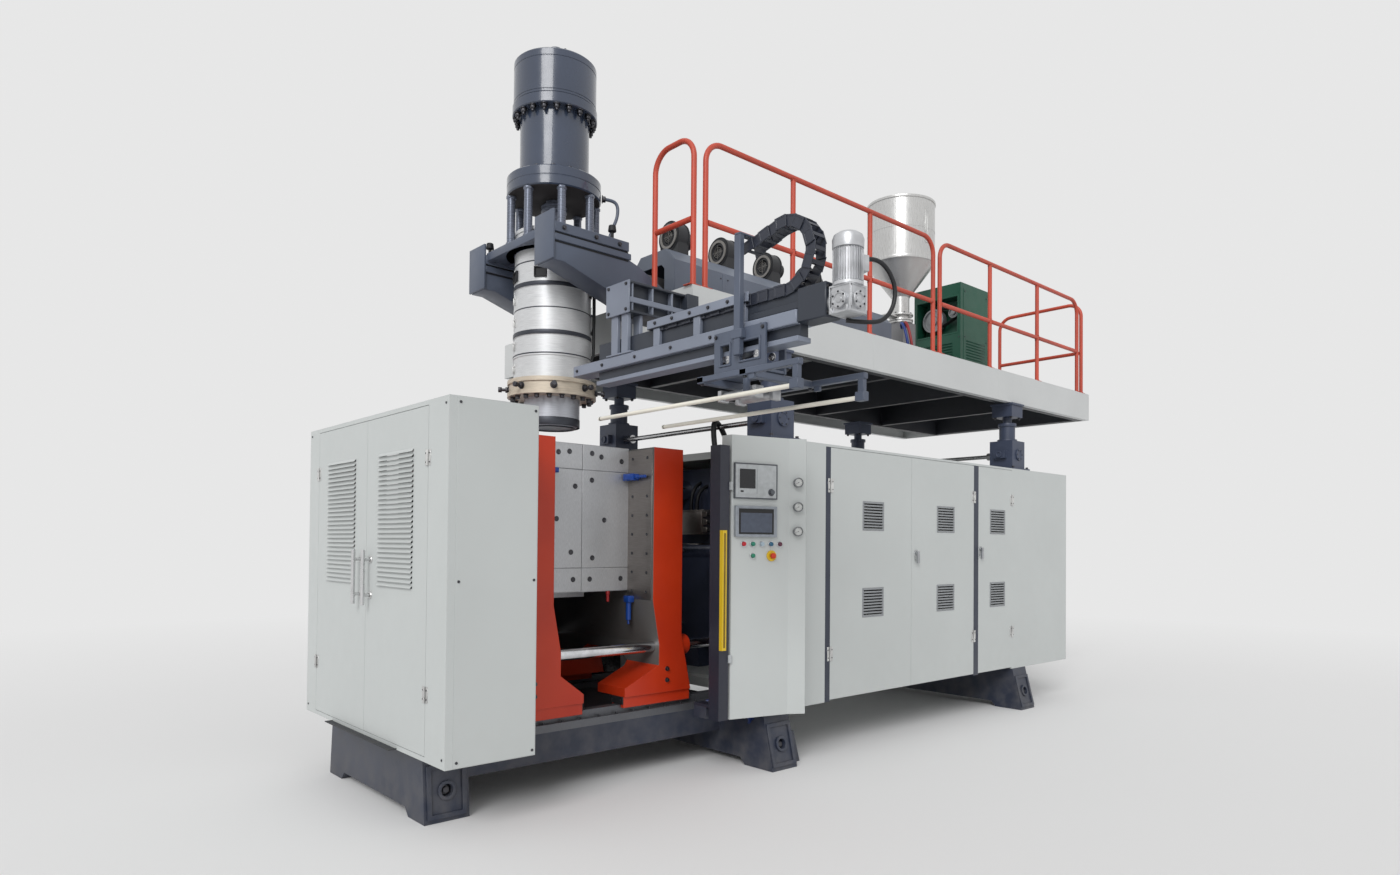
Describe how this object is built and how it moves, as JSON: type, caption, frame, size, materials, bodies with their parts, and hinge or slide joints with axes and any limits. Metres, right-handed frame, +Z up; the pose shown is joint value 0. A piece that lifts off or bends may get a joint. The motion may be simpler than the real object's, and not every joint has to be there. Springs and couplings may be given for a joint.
{
  "type": "blow moulding machine",
  "caption": "Extrusion blow moulding machine: clamp bay with two mould platens, hanging accumulator head, lifting extruder platform with rails, guard and service cabinets, take-out arm.",
  "frame": {"origin": "on the floor, under the middle of the whole machine", "axes": "+X along the machine from the clamp end to the electric end, +Y from the operator's side to the back, +Z up"},
  "size_m": [8.023, 4.4, 5.29],
  "materials": {
    "base_blue": "satin blue-black paint",
    "rail_steel": "ground steel",
    "panel_cream": "satin light grey-green paint",
    "fascia_grey": "satin light grey paint",
    "curtain_dark": "satin dark paint",
    "controller_case": "matte grey case",
    "knob_grey": "matte",
    "button_red": "gloss",
    "button_green": "gloss",
    "button_white": "gloss",
    "button_dark": "gloss",
    "gauge_face": "polished rim",
    "casting_orange": "satin orange-red paint",
    "mould_steel": "machined steel",
    "clamp_blue": "satin blue paint",
    "shroud_steel": "brushed stainless sheet",
    "flange_beige": "heat-browned steel",
    "die_dark": "satin dark paint",
    "drive_green": "dark green paint",
    "chain_black": "matte black",
    "motor_silver": "cast aluminium",
    "oil_grey": "grey paint",
    "rack_zinc": "zinc-plated sheet"
  },
  "bodies": {
    "base": {"base_frame": "base_blue", "guide_rails": "rail_steel", "guard_cabinet": "panel_cream", "service_cabinet": "panel_cream", "door_posts": "base_blue", "light_curtain": "curtain_dark", "jack_columns": "base_blue", "screw_jacks": "base_blue", "hydraulic_unit": "oil_grey", "electric_rack": "rack_zinc"},
    "guard_door_front_leaf": {"guard_door_front": "panel_cream"},
    "guard_door_rear_leaf": {"guard_door_rear": "panel_cream"},
    "service_door_left_leaf": {"service_door_left": "panel_cream"},
    "service_door_right_leaf": {"service_door_right": "panel_cream"},
    "service_latch_lever": {"service_latch": "curtain_dark"},
    "electric_door_leaf": {"electric_door": "panel_cream"},
    "electric_latch_lever": {"electric_latch": "curtain_dark"},
    "control_door_leaf": {"control_door": "panel_cream", "parison_controller": "controller_case", "touch_panel": "controller_case", "pressure_gauges": "gauge_face"},
    "knob": {"controller_knob": "knob_grey"},
    "stop_button": {"emergency_stop": "button_red"},
    "left_carriage": {"left_platen": "casting_orange", "left_mould": "mould_steel", "tie_bars": "rail_steel", "back_platen": "clamp_blue"},
    "right_carriage": {"right_platen": "casting_orange", "right_mould": "mould_steel", "clamp_rod": "rail_steel"},
    "lift": {"platform_frame": "fascia_grey", "platform_joists": "base_blue", "railings": "casting_orange", "jack_screws": "base_blue", "head_support": "base_blue", "accumulator_head": "shroud_steel", "head_flange": "flange_beige", "head_die": "die_dark", "ram_cylinder": "base_blue", "extruder_barrel": "shroud_steel", "barrel_cover": "fascia_grey", "cooling_blowers": "die_dark", "hopper": "shroud_steel", "drive_box": "drive_green", "takeout_beam": "fascia_grey", "takeout_gearmotor": "motor_silver", "drag_chain": "chain_black"},
    "left_shaft": {"left_cross_shaft": "rail_steel"},
    "right_shaft": {"right_cross_shaft": "rail_steel"},
    "plunger": {"ram_crosshead": "base_blue"},
    "screw": {"extruder_screw": "rail_steel"},
    "arm_carriage": {"takeout_carriage": "base_blue", "takeout_gripper": "rail_steel"},
    "button_1": {"push_button_1": "button_red"},
    "button_2": {"push_button_2": "button_green"},
    "button_3": {"push_button_3": "button_white"},
    "button_4": {"push_button_4": "button_green"},
    "button_5": {"push_button_5": "button_dark"},
    "button_6": {"push_button_6": "button_green"}
  },
  "joints": [
    {"name": "guard_front_hinge", "type": "hinge", "parent": "base", "child": "guard_door_front_leaf", "pos_m": [-3.95, -0.195, 1.4], "axis": [0, 0, 1], "range_deg": [0, 110]},
    {"name": "guard_rear_hinge", "type": "hinge", "parent": "base", "child": "guard_door_rear_leaf", "pos_m": [-3.95, 1.565, 1.4], "axis": [0, 0, -1], "range_deg": [0, 110]},
    {"name": "service_left_hinge", "type": "hinge", "parent": "base", "child": "service_door_left_leaf", "pos_m": [-0.774, -0.445, 1.4], "axis": [0, 0, -1], "range_deg": [0, 105]},
    {"name": "service_right_hinge", "type": "hinge", "parent": "base", "child": "service_door_right_leaf", "pos_m": [1.336, -0.445, 1.4], "axis": [0, 0, 1], "range_deg": [0, 105]},
    {"name": "electric_hinge", "type": "hinge", "parent": "base", "child": "electric_door_leaf", "pos_m": [2.056, -0.445, 1.4], "axis": [0, 0, 1], "range_deg": [0, 105]},
    {"name": "service_latch_turn", "type": "hinge", "parent": "service_door_right_leaf", "child": "service_latch_lever", "pos_m": [0.388, -0.4453, 1.555], "axis": [0, 1, 0], "range_deg": [0, 90]},
    {"name": "electric_latch_turn", "type": "hinge", "parent": "electric_door_leaf", "child": "electric_latch_lever", "pos_m": [1.454, -0.4453, 1.59], "axis": [0, 1, 0], "range_deg": [0, 90]},
    {"name": "control_door_hinge", "type": "hinge", "parent": "base", "child": "control_door_leaf", "pos_m": [-1.85, -0.445, 1.4], "axis": [0, 0, -1], "range_deg": [0, 100]},
    {"name": "knob_turn", "type": "hinge", "parent": "control_door_leaf", "child": "knob", "pos_m": [-1.54541, -0.52533, 1.985], "axis": [-0.255, -0.9669, 0], "range_deg": [-150, 150]},
    {"name": "left_clamp_slide", "type": "slide", "parent": "base", "child": "left_carriage", "axis": [-1, 0, 0], "range_m": [0, 0.45]},
    {"name": "right_clamp_slide", "type": "slide", "parent": "base", "child": "right_carriage", "axis": [1, 0, 0], "range_m": [0, 0.45]},
    {"name": "platform_lift", "type": "slide", "parent": "base", "child": "lift", "axis": [0, 0, 1], "range_m": [-0.05, 0.25]},
    {"name": "left_shaft_turn", "type": "hinge", "parent": "base", "child": "left_shaft", "pos_m": [-1.26, 0.705, 2.56], "axis": [0, 1, 0], "range_deg": [-1000, 4600]},
    {"name": "right_shaft_turn", "type": "hinge", "parent": "base", "child": "right_shaft", "pos_m": [2.31, 0.705, 2.56], "axis": [0, 1, 0], "range_deg": [-1000, 4600]},
    {"name": "plunger_stroke", "type": "slide", "parent": "lift", "child": "plunger", "axis": [0, 0, -1], "range_m": [0, 0.09]},
    {"name": "screw_turn", "type": "hinge", "parent": "lift", "child": "screw", "pos_m": [0, 0.705, 3.68], "axis": [1, 0, 0], "continuous": true},
    {"name": "arm_travel", "type": "slide", "parent": "lift", "child": "arm_carriage", "axis": [0, 1, 0], "range_m": [0, 1.2], "deforming": ["drag_chain"]},
    {"name": "button_1_press", "type": "slide", "parent": "control_door_leaf", "child": "button_1", "axis": [0.255, 0.9669, 0], "range_m": [0, 0.005], "stiffness_N_per_m": 600, "springref_m": -0.002},
    {"name": "button_2_press", "type": "slide", "parent": "control_door_leaf", "child": "button_2", "axis": [0.255, 0.9669, 0], "range_m": [0, 0.005], "stiffness_N_per_m": 600, "springref_m": -0.002},
    {"name": "button_3_press", "type": "slide", "parent": "control_door_leaf", "child": "button_3", "axis": [0.255, 0.9669, 0], "range_m": [0, 0.005], "stiffness_N_per_m": 600, "springref_m": -0.002},
    {"name": "button_4_press", "type": "slide", "parent": "control_door_leaf", "child": "button_4", "axis": [0.255, 0.9669, 0], "range_m": [0, 0.005], "stiffness_N_per_m": 600, "springref_m": -0.002},
    {"name": "button_5_press", "type": "slide", "parent": "control_door_leaf", "child": "button_5", "axis": [0.255, 0.9669, 0], "range_m": [0, 0.005], "stiffness_N_per_m": 600, "springref_m": -0.002},
    {"name": "button_6_press", "type": "slide", "parent": "control_door_leaf", "child": "button_6", "axis": [0.255, 0.9669, 0], "range_m": [0, 0.005], "stiffness_N_per_m": 600, "springref_m": -0.002},
    {"name": "stop_press", "type": "slide", "parent": "control_door_leaf", "child": "stop_button", "axis": [0.255, 0.9669, 0], "range_m": [0, 0.005], "stiffness_N_per_m": 900, "springref_m": -0.002}
  ],
  "couplings": [
    {"joint": "right_clamp_slide", "follows": "left_clamp_slide", "ratio": 1},
    {"joint": "left_shaft_turn", "follows": "platform_lift", "rad_per_m": 314.16},
    {"joint": "right_shaft_turn", "follows": "platform_lift", "rad_per_m": 314.16}
  ]
}
